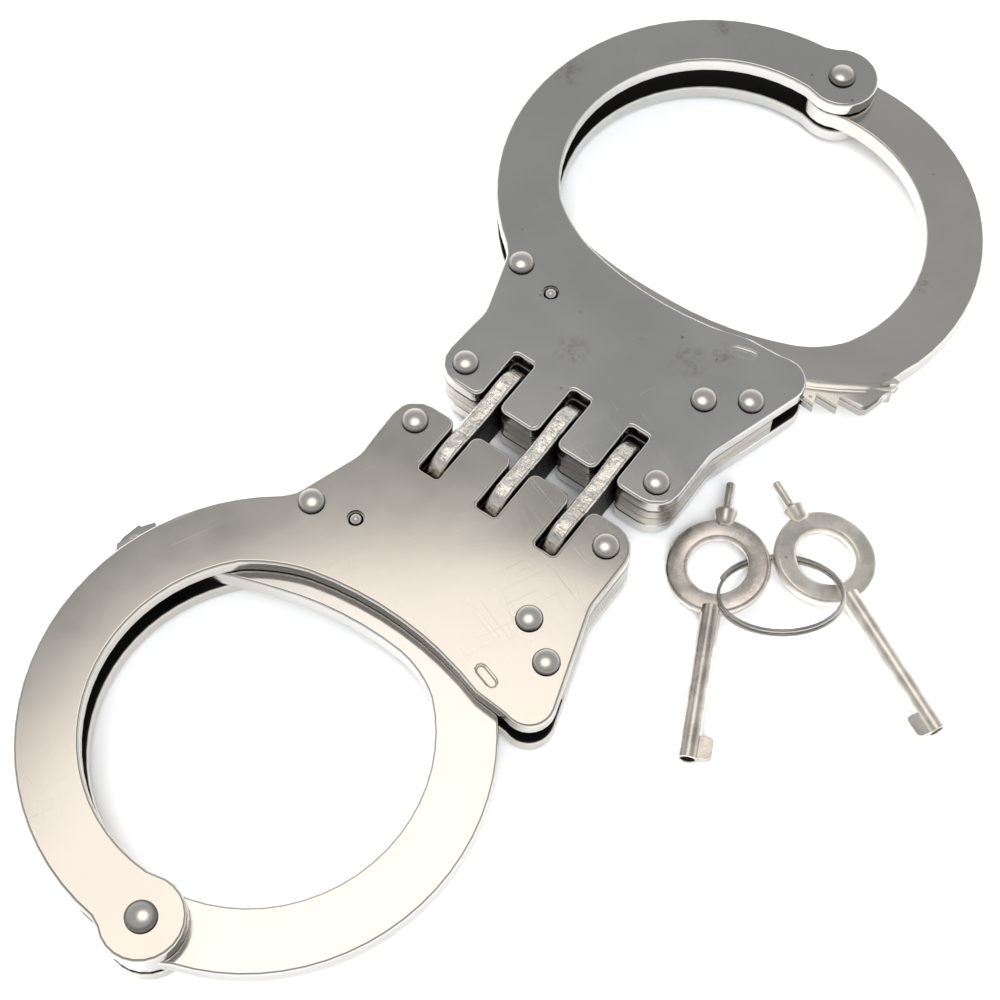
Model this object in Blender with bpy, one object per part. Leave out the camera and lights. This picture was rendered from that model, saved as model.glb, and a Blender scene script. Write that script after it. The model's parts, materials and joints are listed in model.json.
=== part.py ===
"""A pair of three-link hinged handcuffs with two keys on a split ring.

Run with: blender --background --python part.py

Lengths are in metres and +Z is up. The handcuffs lie open on a surface at Z = 0. One cuff points along
+X (the right one) and the other along -X (the left one), and the two are mirror images in the plane X = 0.
Every cuff piece is drawn once in the cuff's own frame: the origin is midway between the two hinge pins,
X runs out along the cuff, and +Y is the side of the fixed double-plate arm. The rest pose has both pawls
lifted off the ratchet teeth, as a turned key holds them.
"""

import math

import bmesh
import bpy
from mathutils import Matrix, Vector

# ---------------------------------------------------------------- driving dimensions (metres, degrees)

PIVOT = Vector((0.0983, 0.0007))  # the swinging strand's rivet, at the far end of the ring
BAND_CLEARANCE = 0.0003

HEAD_HEIGHT = 0.0013  # a rivet's domed head, above the plate
CHEEK = 0.0031  # each of the two outer plates
THROAT = 0.0046  # the space between them, where the strand runs
LAMINATION_GAP = 0.0001
SEAT_GAP = 0.0001  # round a key's shank and pin where they enter the bow
STRAND_THICKNESS = 0.0040

ARM_CENTRE = Vector((0.0631, 0.0052))
ARM_RADIUS = 0.0397
ARM_INNER_CENTRE = Vector((0.0642, 0.0060))
ARM_INNER_RADIUS = 0.02815
EYE_RADIUS = 0.0068

HINGE_PIN = 0.0079  # from the centre plane to each hinge pin
PIN_RADIUS = 0.0015
PIN_HALF_LENGTH = 0.0168
EDGE_X = 0.0030  # the frame's edge that faces the other cuff
CORNER_RADIUS = 0.0048
HALF_WIDTH = 0.0240  # of the frame at the hinge
LINK_PITCH = 0.0119
LINK_THICKNESS = 0.0031
LINK_RADIUS = 0.0054  # of the eye round each pin
LINK_WAIST = 0.0049  # half the link's height midway between them
SLOT_WIDTH = 0.0040
SLOT_END = 0.0138

WEAR_FACE = 0.0609  # radius about the pivot of the frame's edge inside the ring
TOOTH_TIP = 0.0686  # radii about the pivot, on the strand
TOOTH_ROOT = 0.0665
TOOTH_SHELF = 0.0642  # where the full-thickness band stops
TOOTH_LEAD = 0.0010  # how much lower the tooth at the nose is than the others
TOOTH_THICKNESS = 0.0031
SHOULDER_LAP = 0.0008  # how far the rounded shoulder runs in under the band
SHOULDER_START = 0.0002
SHOULDER_ROUND = 0.0019
SHOULDER_DROP = 0.0009
POCKET = 0.0008  # width of the run-out left at each end of the rounded shoulder
POCKET_FLOOR = 0.0007  # above the strand's middle
TOOTH_PITCH = 3.40
TOOTH_COUNT = 17
LAST_TOOTH = 215.0  # angle of the tooth tip nearest the strand's band
STRAND_CENTRE = Vector((0.0654, -0.0058))
STRAND_RADIUS = 0.0377
STRAND_INNER_CENTRE = Vector((0.0652, -0.0057))
STRAND_INNER_RADIUS = 0.0276
TONGUE_INNER = 0.0576  # radius about the pivot of the toothed tongue's inner edge
LEFT_TEETH_CLOSED = 6  # the left cuff is this many teeth tighter than the right one

RIVET_RADIUS = 0.0015
RIVET_HEAD = 0.00228
PIVOT_HEAD = 0.00255
RIVETS = {  # in the cuff's frame
    "neck_rivet": Vector((0.0293, 0.0240)),
    "hinge_rivet_rear": Vector((0.0071, 0.0196)),
    "hinge_rivet_front": Vector((0.0073, -0.0197)),
    "pawl_rivet": Vector((0.0251, -0.0172)),
    "mouth_rivet": Vector((0.0296, -0.0238)),
    "strand_rivet": PIVOT,
}
POST = Vector((0.0274, 0.0163))  # the key turns on it
POST_RADIUS = 0.0010
LOCK_HOLE = Vector((0.0189, 0.0180))  # where the key's pin is pushed in from the rear edge
DIMPLE = Vector((0.0370, -0.0175))  # pressed into the top plate to steady the strand
DIMPLE_LENGTH = 0.0048
DIMPLE_WIDTH = 0.0020
DIMPLE_TURN = -74

PAWL_LIFT = 9.0
PAWL_TEETH = 3
LOCK_TRAVEL = 0.0035

KEY_SHANK = 0.00175
KEY_BORE = 0.00120
KEY_LENGTH = 0.0343  # from the bow's centre to the end of the shank
KEY_PIN = 0.0160  # from the bow's centre to the end of the double-lock pin
LOCK_PIN = 0.0008
COLLAR = 0.0018  # the lock pin's collar, where it enters the bow
COLLAR_FLANGE = 0.0021
COLLAR_RISE = 0.0038  # from the seat to the top of the collar
KEY_SEAT = 0.0074  # from the bow's centre to where the shank and the collar end inside its rim
KEY_BIT_LENGTH = 0.0038
KEY_BIT_REACH = 0.0038  # from the shank's axis
KEY_BIT_THICKNESS = 0.0017
KEY_BORE_DEPTH = 0.012
BOW_RADIUS = 0.0088
BOW_HOLE = 0.00505
BOW_THICKNESS = 0.0020
RING_RADIUS = 0.01024
RING_WIRE = 0.00036
RING_TILT = 29.9
RING_CENTRE = Vector((0.00528, -0.04628, 0.00570))
RING_HEADING = 43.0
# where each key lies: its bow's centre, the way its shank points, its slope and its roll
LEFT_KEY = {
    "centre": (0.0048, -0.0346, 0.00236), "heading": 205.4, "dip": 1.0, "roll": 8.4, "bit_side": 1,
}
RIGHT_KEY = {
    "centre": (0.0167, -0.0482, 0.00252), "heading": 243.8, "dip": 1.2, "roll": -6.7, "bit_side": -1,
}

ORIGIN_SHIFT = 0.01667  # sets the row's origin under the middle of its box

# ---------------------------------------------------------------- heights that follow from them

LOW_PLATE = HEAD_HEIGHT
LOW_PLATE_TOP = LOW_PLATE + CHEEK
HIGH_PLATE = LOW_PLATE_TOP + THROAT
HIGH_PLATE_TOP = HIGH_PLATE + CHEEK
MIDDLE = (LOW_PLATE_TOP + HIGH_PLATE) / 2
LAMINATION = (THROAT - 3 * LAMINATION_GAP) / 2
FIRST_TOOTH = LAST_TOOTH - (TOOTH_COUNT - 1) * TOOTH_PITCH
SHOULDER_SPAN = (FIRST_TOOTH - 3.0, LAST_TOOTH + 4.6)
POCKET_SPANS = {
    "band": (LAST_TOOTH + 3.0, LAST_TOOTH + 5.6),
    "nose": (FIRST_TOOTH - 3.6, FIRST_TOOTH - 2.2),
}

# ---------------------------------------------------------------- outlines


def polar(centre, radius, degrees):
    angle = math.radians(degrees)
    return Vector((centre[0] + radius * math.cos(angle), centre[1] + radius * math.sin(angle)))


def arc(centre, radius, start, end, step=6.0):
    count = max(2, round(abs(end - start) / step))
    return [polar(centre, radius, start + (end - start) * i / count) for i in range(count + 1)]


def angle_about(centre, point):
    return math.degrees(math.atan2(point[1] - centre[1], point[0] - centre[0])) % 360


def meeting(centre_a, radius_a, centre_b, radius_b, side):
    """The point where two circles cross, left (side 1) or right (side -1) of the line from a to b."""
    line = Vector(centre_b) - Vector(centre_a)
    along = (line.length_squared + radius_a**2 - radius_b**2) / (2 * line.length)
    across = math.sqrt(radius_a**2 - along**2)
    line.normalize()
    return Vector(centre_a) + line * along + Vector((-line.y, line.x)) * across * side


def fillet(corners, step=22.5):
    """A closed outline from (point, radius) pairs; each corner with a radius is rounded."""
    outline = []
    for i, (point, radius) in enumerate(corners):
        if not radius:
            outline.append(Vector(point))
            continue
        before = (Vector(corners[i - 1][0]) - Vector(point)).normalized()
        after = (Vector(corners[(i + 1) % len(corners)][0]) - Vector(point)).normalized()
        half = before.angle(after) / 2
        centre = Vector(point) + (before + after).normalized() * radius / math.sin(half)
        start = Vector(point) + before * radius / math.tan(half) - centre
        end = Vector(point) + after * radius / math.tan(half) - centre
        turn = start.angle_signed(end)
        count = max(2, round(abs(math.degrees(turn)) / step))
        for k in range(count + 1):
            part = turn * k / count
            spun = Vector(
                (
                    start.x * math.cos(part) + start.y * math.sin(part),
                    -start.x * math.sin(part) + start.y * math.cos(part),
                )
            )
            outline.append(centre + spun)
    return outline


def sharp(points):
    return [(point, 0) for point in points]


def eased(start, corner, end, steps=6):
    """A smooth curve from start to end that rounds off a corner, without its two end points."""
    shares = [i / steps for i in range(1, steps)]
    return [start * (1 - t) ** 2 + corner * 2 * t * (1 - t) + end * t**2 for t in shares]


def slots():
    """The hinge edge of the frame, from its +Y corner to its -Y corner, with a slot for each link."""
    corners = []
    half = SLOT_WIDTH / 2
    for y in (LINK_PITCH, 0, -LINK_PITCH):
        corners += [
            ((EDGE_X, y + half), 0.0016),
            ((SLOT_END, y + half), 0.0007),
            ((SLOT_END, y - half), 0.0007),
            ((EDGE_X, y - half), 0.0016),
        ]
    return corners


def cheek_outline():
    """One outer plate: the frame that holds the lock, and the arm that curves to the strand's rivet."""
    tip = Vector((0.0364, -0.0254))
    inner_end = meeting(ARM_INNER_CENTRE, ARM_INNER_RADIUS, PIVOT, EYE_RADIUS, 1)
    outer_end = meeting(ARM_CENTRE, ARM_RADIUS, PIVOT, EYE_RADIUS, 1)
    corner = polar(PIVOT, WEAR_FACE, 159.6)
    corners = [((EDGE_X, -HALF_WIDTH), CORNER_RADIUS), ((0.0175, -HALF_WIDTH), 0.006)]
    corners += sharp(arc(tip, 0.0044, 254, 380, 14))
    wear_face = arc(PIVOT, WEAR_FACE, 197.5, 165, 4.0)
    arm = arc(ARM_INNER_CENTRE, ARM_INNER_RADIUS, angle_about(ARM_INNER_CENTRE, corner) - 12,
              angle_about(ARM_INNER_CENTRE, inner_end) - 360 + 1.5, 6.0)
    corners += sharp(wear_face + eased(wear_face[-1], corner, arm[0]) + arm)
    eye = arc(PIVOT, EYE_RADIUS, angle_about(PIVOT, inner_end) + 6,
              angle_about(PIVOT, outer_end) + 360 - 8, 14)
    outside = arc(ARM_CENTRE, ARM_RADIUS, angle_about(ARM_CENTRE, outer_end) + 1.5, 143.5, 5.0)
    corners += sharp(eye + outside)
    corners += [
        ((0.0294, 0.0272), 0.004),
        ((0.0175, 0.0232), 0.006),
        ((0.0140, HALF_WIDTH - 0.0005), 0.004),
        ((EDGE_X, HALF_WIDTH), CORNER_RADIUS),
    ]
    corners += slots()
    return fillet(corners)


def spacer_outline():
    """The plates between the two cheeks: the hinge block and the two walls round the lock."""
    corners = [
        ((EDGE_X, -HALF_WIDTH), CORNER_RADIUS),
        ((0.0175, -HALF_WIDTH), 0.006),
        ((0.0306, -0.0281), 0.0004),
        ((0.0328, -0.0236), 0.0020),
        ((0.0292, -0.0209), 0.0012),
        ((0.0218, -0.0215), 0.0015),
        ((0.0156, -0.0200), 0.0020),
        ((0.0156, 0.0200), 0.0015),
        ((0.0220, 0.0210), 0.0015),
        ((0.0300, 0.0208), 0.0015),
        ((0.0330, 0.0240), 0.0020),
        ((0.0303, 0.0272), 0.0004),
        ((0.0175, 0.0232), 0.006),
        ((0.0140, HALF_WIDTH - 0.0005), 0.004),
        ((EDGE_X, HALF_WIDTH), CORNER_RADIUS),
    ]
    return fillet(corners + slots())


def tongue_inner(degrees):
    """Radius of the tongue's inner edge: true to the pivot, and drawn in towards its nose."""
    return TONGUE_INNER + 0.0022 * max(0.0, (180 - degrees) / 22) ** 1.3


def nose_rim():
    """The tongue's tapered end, from the first tooth's tip round to its inner edge."""
    inner = tongue_inner(FIRST_TOOTH)
    rim = [
        (TOOTH_TIP - TOOTH_LEAD, 0),
        (TOOTH_TIP - TOOTH_LEAD - 0.0006, 1.9),
        (TOOTH_TIP - TOOTH_LEAD - 0.0003, 2.3),
        (TOOTH_SHELF + 0.0011, 4.6),
        (TOOTH_SHELF, 5.4),
        (TOOTH_SHELF - 0.0012, 5.9),
        (TOOTH_SHELF - 0.0028, 6.1),
        (inner + 0.0012, 5.6),
        (inner, 4.4),
    ]
    return [polar(PIVOT, radius, FIRST_TOOTH - behind) for radius, behind in rim]


def strand_band():
    """The full-thickness part of the strand: eye, curved band and the tongue up to the toothed shelf."""
    shelf_start = meeting(PIVOT, TOOTH_SHELF, STRAND_CENTRE, STRAND_RADIUS, 1)
    kink = meeting(PIVOT, TONGUE_INNER, STRAND_INNER_CENTRE, STRAND_INNER_RADIUS, 1)
    outer_eye = meeting(STRAND_CENTRE, STRAND_RADIUS, PIVOT, EYE_RADIUS, -1)
    inner_eye = meeting(STRAND_INNER_CENTRE, STRAND_INNER_RADIUS, PIVOT, EYE_RADIUS, -1)
    points = arc(PIVOT, TOOTH_SHELF, angle_about(PIVOT, shelf_start), FIRST_TOOTH - 5.0, 4.0)
    points += nose_rim()[4:]
    inner_start = FIRST_TOOTH - 2.0
    inner_end = angle_about(PIVOT, kink) - 5
    for i in range(13):
        degrees = inner_start + (inner_end - inner_start) * i / 12
        points.append(polar(PIVOT, tongue_inner(degrees), degrees))
    band = arc(STRAND_INNER_CENTRE, STRAND_INNER_RADIUS, angle_about(STRAND_INNER_CENTRE, kink) + 10,
               angle_about(STRAND_INNER_CENTRE, inner_eye) + 360 - 2, 6.0)
    points += eased(points[-1], kink, band[0]) + band
    points += arc(PIVOT, EYE_RADIUS - BAND_CLEARANCE, angle_about(PIVOT, inner_eye) - 8,
                  angle_about(PIVOT, outer_eye) - 360 + 8, 14)
    points += arc(STRAND_CENTRE, STRAND_RADIUS, angle_about(STRAND_CENTRE, outer_eye) - 2,
                  angle_about(STRAND_CENTRE, shelf_start) - 360 + 2, 5.0)
    return points


def ratchet_teeth():
    """The thinner toothed band: each tooth rises gently and drops steeply behind its tip."""
    points = [
        polar(PIVOT, TOOTH_SHELF - 0.0002, LAST_TOOTH + 6.2),
        polar(PIVOT, TOOTH_TIP - 0.0016, LAST_TOOTH + 2.6),
        polar(PIVOT, TOOTH_TIP - 0.0001, LAST_TOOTH + 0.9),
    ]
    for i in range(TOOTH_COUNT - 1):
        tip = LAST_TOOTH - i * TOOTH_PITCH
        points.append(polar(PIVOT, TOOTH_TIP, tip))
        points.append(polar(PIVOT, TOOTH_ROOT, tip - TOOTH_PITCH + 0.35))
    points += nose_rim()[:7]
    points += arc(PIVOT, TOOTH_SHELF - 0.0020, FIRST_TOOTH - 3.0, LAST_TOOTH + 5.0, 4.5)
    return points


def shoulder_section():
    """The rounded shoulder between band and teeth, as (radius, height above the middle) pairs."""
    crest = STRAND_THICKNESS / 2 - 0.0001
    upper = [(TOOTH_SHELF - SHOULDER_LAP, crest)]
    for degrees in (0, 18, 36, 54, 72):
        out = SHOULDER_START + SHOULDER_ROUND * math.sin(math.radians(degrees))
        drop = SHOULDER_DROP * (1 - math.cos(math.radians(degrees)))
        upper.append((TOOTH_SHELF + out, crest - drop))
    return upper + [(radius, -height) for radius, height in reversed(upper)]


def pawl_outline():
    """The pawl as it stands in mesh: an eye round its rivet, a toothed face, and a tail for the key."""
    rivet = RIVETS["pawl_rivet"]
    clear = TOOTH_TIP + 0.0006
    eye_angle = angle_about(PIVOT, rivet)
    corners = sharp(arc(rivet, 0.0033, 150, 330, 20))
    corners.append((polar(PIVOT, 0.0716, eye_angle - 3.2), 0))
    corners.append((polar(PIVOT, clear, eye_angle - 8.0), 0.0006))
    first = LAST_TOOTH - 10 * TOOTH_PITCH
    for i in range(PAWL_TEETH):
        steep = first - i * TOOTH_PITCH + 0.55
        corners.append((polar(PIVOT, clear, steep + 2.2), 0))
        corners.append((polar(PIVOT, TOOTH_ROOT + 0.0007, steep), 0))
        corners.append((polar(PIVOT, clear, steep - 0.1), 0))
    corners += [
        (polar(PIVOT, clear + 0.0004, 169.3), 0.0006),
        (polar(PIVOT, clear + 0.0024, 169.6), 0.0008),
        (polar(PIVOT, clear + 0.0046, 176.0), 0.003),
        (polar(PIVOT, clear + 0.0050, 184.0), 0.003),
    ]
    return fillet(corners)


# ---------------------------------------------------------------- solids


def material(name, colour, roughness):
    made = bpy.data.materials.new(name)
    made.use_nodes = True
    shader = made.node_tree.nodes["Principled BSDF"]
    shader.inputs["Base Color"].default_value = (*colour, 1)
    shader.inputs["Roughness"].default_value = roughness
    shader.inputs["Metallic"].default_value = 1.0
    return made


def solid(name, mesh, finish, place, parent):
    made = bpy.data.objects.new(name, mesh)
    bpy.context.scene.collection.objects.link(made)
    made.location = place
    made.parent = parent
    mesh.materials.clear()
    if finish:
        mesh.materials.append(finish)
    return made


def cutter(name, mesh, place, parent):
    made = solid(name, mesh, None, place, parent)
    made.hide_render = True
    made.display_type = "WIRE"
    return made


def cut(target, tool, operation="DIFFERENCE"):
    boolean = target.modifiers.new(tool.name, "BOOLEAN")
    boolean.operation = operation
    boolean.object = tool
    boolean.solver = "EXACT"


def ride_on(tool, target):
    """Sets a cutter that was drawn about the target's own origin on the target."""
    tool.parent = target
    tool.location = (0, 0, 0)


def plate_mesh(name, outline, holes, low, high):
    """A flat plate: a filled outline with round or shaped holes, between two heights."""
    curve = bpy.data.curves.new(name, "CURVE")
    curve.dimensions = "2D"
    curve.fill_mode = "BOTH"
    curve.extrude = (high - low) / 2
    for loop in [outline, *holes]:
        spline = curve.splines.new("POLY")
        spline.points.add(len(loop) - 1)
        for point, corner in zip(spline.points, loop):
            point.co = (corner[0], corner[1], 0, 1)
        spline.use_cyclic_u = True
    holder = bpy.data.objects.new(name, curve)
    mesh = bpy.data.meshes.new_from_object(holder)
    bpy.data.objects.remove(holder)
    bpy.data.curves.remove(curve)
    mesh.name = name
    shape = bmesh.new()
    shape.from_mesh(mesh)
    bmesh.ops.remove_doubles(shape, verts=shape.verts, dist=1e-7)
    bmesh.ops.translate(shape, verts=shape.verts, vec=(0, 0, (low + high) / 2))
    bmesh.ops.recalc_face_normals(shape, faces=shape.faces)
    shape.to_mesh(mesh)
    shape.free()
    return mesh


def lathe_mesh(name, profile, segments):
    """A turned solid about Z from (radius, height) pairs, bottom up, that start and end on Z."""
    shape = bmesh.new()
    rings = []
    for radius, height in profile:
        if radius == 0:
            rings.append([shape.verts.new((0, 0, height))])
            continue
        rings.append(
            [shape.verts.new((*polar((0, 0), radius, 360 * i / segments), height)) for i in range(segments)]
        )
    for lower, upper in zip(rings, rings[1:]):
        for i in range(segments):
            k = (i + 1) % segments
            below = [lower[i % len(lower)], lower[k % len(lower)]]
            above = [upper[k % len(upper)], upper[i % len(upper)]]
            face = below + above
            shape.faces.new(list(dict.fromkeys(face)))
    bmesh.ops.recalc_face_normals(shape, faces=shape.faces)
    mesh = bpy.data.meshes.new(name)
    shape.to_mesh(mesh)
    shape.free()
    mesh.shade_smooth()
    mesh.set_sharp_from_angle(angle=math.radians(35))
    return mesh


def sector_mesh(name, section, start, end, side, step=4.0):
    """(radius, height) pairs swept about the origin between two angles, mirrored where side is -1."""
    shape = bmesh.new()
    count = round((end - start) / step) or 1
    rings = []
    for i in range(count + 1):
        angle = start + (end - start) * i / count
        corners = [(polar((0, 0), radius, angle), height) for radius, height in section]
        rings.append([shape.verts.new((side * flat.x, flat.y, height)) for flat, height in corners])
    for ring, following in zip(rings, rings[1:]):
        for i in range(len(section)):
            k = (i + 1) % len(section)
            shape.faces.new([ring[i], ring[k], following[k], following[i]])
    shape.faces.new(rings[0][::-1])
    shape.faces.new(rings[-1])
    bmesh.ops.recalc_face_normals(shape, faces=shape.faces)
    mesh = bpy.data.meshes.new(name)
    shape.to_mesh(mesh)
    shape.free()
    return mesh


def cylinder_mesh(name, radius, low, high, segments=20):
    return lathe_mesh(name, [(0, low), (radius, low), (radius, high), (0, high)], segments)


def along(direction):
    """The rotation that turns +Z to this direction."""
    return Vector((0, 0, 1)).rotation_difference(Vector(direction)).to_matrix().to_4x4()


def ring_loop(centre, radius, count=16):
    return arc(centre, radius, 0, 360 - 360 / count, 360 / count)


class Cuff:
    """Places pieces drawn in the cuff's frame on the right (side 1) or, mirrored, on the left (side -1)."""

    def __init__(self, label, side, parent):
        self.label = label
        self.side = side
        self.parent = parent

    def name(self, piece):
        return f"{self.label}_{piece}"

    def point(self, flat, height=0.0):
        return Vector((self.side * flat[0], flat[1], height))

    def loop(self, points, origin):
        return [(self.side * (p[0] - origin[0]), p[1] - origin[1]) for p in points]

    def plate(self, piece, outline, holes, low, high, finish, origin=(0, 0)):
        loops = [self.loop(points, origin) for points in [outline, *holes]]
        mesh = plate_mesh(self.name(piece), loops[0], loops[1:], low, high)
        return solid(self.name(piece), mesh, finish, self.point(origin), self.parent)

    def plate_cutter(self, piece, outline, low, high, origin=(0, 0)):
        mesh = plate_mesh(self.name(piece), self.loop(outline, origin), [], low, high)
        return cutter(self.name(piece), mesh, self.point(origin), self.parent)

    def sector_cutter(self, piece, section, start, end):
        """A cutter swept about the strand's rivet, at the middle height."""
        mesh = sector_mesh(self.name(piece), section, start, end, self.side)
        mesh.transform(Matrix.Translation((0, 0, MIDDLE)))
        return cutter(self.name(piece), mesh, self.point(PIVOT), self.parent)


# ---------------------------------------------------------------- the pieces of one cuff


def obround(centre, length, width, degrees, steps=4):
    direction = polar((0, 0), (length - width) / 2, degrees)
    ends = arc(centre + direction, width / 2, degrees - 90, degrees + 90, 180 / steps)
    return ends + arc(centre - direction, width / 2, degrees + 90, degrees + 270, 180 / steps)


def keyhole():
    """A round hole for the key's shank, with a slot for its bit that points away from the strand."""
    half = 0.00095
    start = math.degrees(math.asin(half / 0.0022))
    around = arc(POST, 0.0022, -180 + start, 180 - start, 24)
    return around + [POST + Vector((-0.0044, half)), POST + Vector((-0.0044, -half))]


def make_cheeks(cuff, finish):
    clearance = RIVET_RADIUS + BAND_CLEARANCE
    rivet_holes = [ring_loop(centre, clearance, 12) for centre in RIVETS.values()]
    outline = cheek_outline()
    top = cuff.plate("top_cheek", outline, [*rivet_holes, ring_loop(POST, POST_RADIUS + 0.0003, 12)],
                     HIGH_PLATE, HIGH_PLATE_TOP, finish)
    cuff.plate("bottom_cheek", outline, [*rivet_holes, keyhole()], LOW_PLATE, LOW_PLATE_TOP, finish)
    recess = cylinder_mesh(cuff.name("post_recess"), 0.0015, 0, 0.002, 16)
    place = cuff.point(POST, HIGH_PLATE_TOP - 0.0006)
    cut(top, cutter(cuff.name("post_recess"), recess, place, cuff.parent))
    for ledge, depth, shrink in (("rim", 0.00025, 0.0), ("floor", 0.0006, 0.0006)):
        outline = obround(DIMPLE, DIMPLE_LENGTH - shrink, DIMPLE_WIDTH - shrink, DIMPLE_TURN)
        tool = cuff.plate_cutter(f"dimple_{ledge}", outline, HIGH_PLATE_TOP - depth, HIGH_PLATE_TOP + 0.001)
        cut(top, tool)


def make_spacers(cuff, finish):
    """Two laminations with a round bore for the hinge pin between them."""
    clearance = RIVET_RADIUS + BAND_CLEARANCE
    held = ("neck_rivet", "hinge_rivet_rear", "hinge_rivet_front", "mouth_rivet")
    holes = [ring_loop(RIVETS[name], clearance, 12) for name in held]
    low = LOW_PLATE_TOP + LAMINATION_GAP
    bore = cylinder_mesh(cuff.name("pin_bore"), PIN_RADIUS + 0.0003, -PIN_HALF_LENGTH - 0.0003,
                         PIN_HALF_LENGTH + 0.0003, 16)
    bore.transform(along((0, 1, 0)))
    bore_tool = cutter(cuff.name("pin_bore"), bore, cuff.point((HINGE_PIN, 0), MIDDLE), cuff.parent)
    lock_hole = cylinder_mesh(cuff.name("lock_pin_hole"), 0.0010, 0, 0.008, 12)
    lock_hole.transform(along((0, 1, 0)))
    place = cuff.point(LOCK_HOLE, MIDDLE)
    lock_tool = cutter(cuff.name("lock_pin_hole"), lock_hole, place, cuff.parent)
    for piece, bottom in (("lower_spacer", low), ("upper_spacer", low + LAMINATION + LAMINATION_GAP)):
        spacer = cuff.plate(piece, spacer_outline(), holes, bottom, bottom + LAMINATION, finish)
        cut(spacer, bore_tool)
        cut(spacer, lock_tool)


def rivet_profile(head, height, low, high, shank=RIVET_RADIUS):
    """A plain shank with a domed head at each end."""
    gap = LAMINATION_GAP
    dome = height - gap
    steps = 3
    lower = [
        (head * math.sin(math.pi / 2 * i / steps), low - gap - dome * math.cos(math.pi / 2 * i / steps))
        for i in range(steps + 1)
    ]
    upper = [(radius, low + high - z) for radius, z in reversed(lower)]
    return [*lower, (shank, low - gap), (shank, high + gap), *upper]


def make_rivets(cuff, finish):
    for piece, centre in RIVETS.items():
        head = PIVOT_HEAD if piece == "strand_rivet" else RIVET_HEAD
        profile = rivet_profile(head, HEAD_HEIGHT, LOW_PLATE, HIGH_PLATE_TOP)
        mesh = lathe_mesh(cuff.name(piece), profile, 16)
        solid(cuff.name(piece), mesh, finish, cuff.point(centre), cuff.parent)


def make_key_post(cuff, finish):
    """The fixed pin that the hollow key slides over, with its riveted end in the top plate's recess."""
    low = LOW_PLATE + 0.0004
    end = POST_RADIUS * 0.7
    profile = [(0, low), (end, low), (POST_RADIUS, low + 0.0004), (POST_RADIUS, HIGH_PLATE_TOP - 0.0003),
               (end, HIGH_PLATE_TOP), (0, HIGH_PLATE_TOP + 0.0001)]
    mesh = lathe_mesh(cuff.name("key_post"), profile, 14)
    solid(cuff.name("key_post"), mesh, finish, cuff.point(POST), cuff.parent)


def make_hinge_pin(cuff, finish):
    mesh = cylinder_mesh(cuff.name("hinge_pin"), PIN_RADIUS, -PIN_HALF_LENGTH, PIN_HALF_LENGTH, 16)
    mesh.transform(along((0, 1, 0)))
    solid(cuff.name("hinge_pin"), mesh, finish, cuff.point((HINGE_PIN, 0), MIDDLE), cuff.parent)


def make_strand(cuff, finish, closed):
    """The swinging strand, turned about its rivet by this many degrees from the right cuff's rest."""
    low = MIDDLE - STRAND_THICKNESS / 2
    eye = ring_loop(PIVOT, RIVET_RADIUS + BAND_CLEARANCE, 14)
    strand = cuff.plate("strand", strand_band(), [eye], low, low + STRAND_THICKNESS, finish, PIVOT)
    teeth = cuff.plate_cutter("strand_teeth", ratchet_teeth(), MIDDLE - TOOTH_THICKNESS / 2,
                              MIDDLE + TOOTH_THICKNESS / 2, PIVOT)
    shoulder = cuff.sector_cutter("strand_shoulder", shoulder_section(), *SHOULDER_SPAN)
    for tool in (teeth, shoulder):
        ride_on(tool, strand)
        cut(strand, tool, "UNION")
    for face in (1, -1):
        floor = POCKET_FLOOR * face
        mouth = STRAND_THICKNESS * face
        pocket = [(TOOTH_SHELF, floor), (TOOTH_SHELF + POCKET, floor),
                  (TOOTH_SHELF + POCKET, mouth), (TOOTH_SHELF, mouth)]
        for end, span in POCKET_SPANS.items():
            tool = cuff.sector_cutter(f"{end}_pocket_{face}", pocket[::face], *span)
            ride_on(tool, strand)
            cut(strand, tool)
    strand.rotation_euler.z = math.radians(-closed * cuff.side)


def make_pawl(cuff, finish):
    rivet = RIVETS["pawl_rivet"]
    low = MIDDLE - STRAND_THICKNESS / 2
    hole = ring_loop(rivet, RIVET_RADIUS + BAND_CLEARANCE, 14)
    pawl = cuff.plate("pawl", pawl_outline(), [hole], low, low + STRAND_THICKNESS, finish, rivet)
    pawl.rotation_euler.z = math.radians(PAWL_LIFT * cuff.side)


def make_lock_bar(cuff, finish):
    """The double-lock bar: pushed in from the rear edge, its nose comes behind the pawl."""
    low = MIDDLE - STRAND_THICKNESS / 2
    corners = [
        ((0.0178, -0.0010), 0.0004), ((0.0198, -0.0010), 0.0004), ((0.0198, 0.0040), 0.0003),
        ((0.0207, 0.0048), 0.0003), ((0.0207, 0.0072), 0.0003), ((0.0198, 0.0080), 0.0003),
        ((0.0198, 0.0192), 0.0004), ((0.0178, 0.0192), 0.0004),
    ]
    cuff.plate("double_lock_bar", fillet(corners, 45), [], low, low + STRAND_THICKNESS, finish)


def ribbon(path, width):
    """The outline of a strip of this width that follows a path of points."""
    left, right = [], []
    for i, point in enumerate(path):
        forward = (path[min(i + 1, len(path) - 1)] - path[max(i - 1, 0)]).normalized()
        side = Vector((-forward.y, forward.x)) * width / 2
        left.append(point + side)
        right.append(point - side)
    return right + left[::-1]


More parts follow.
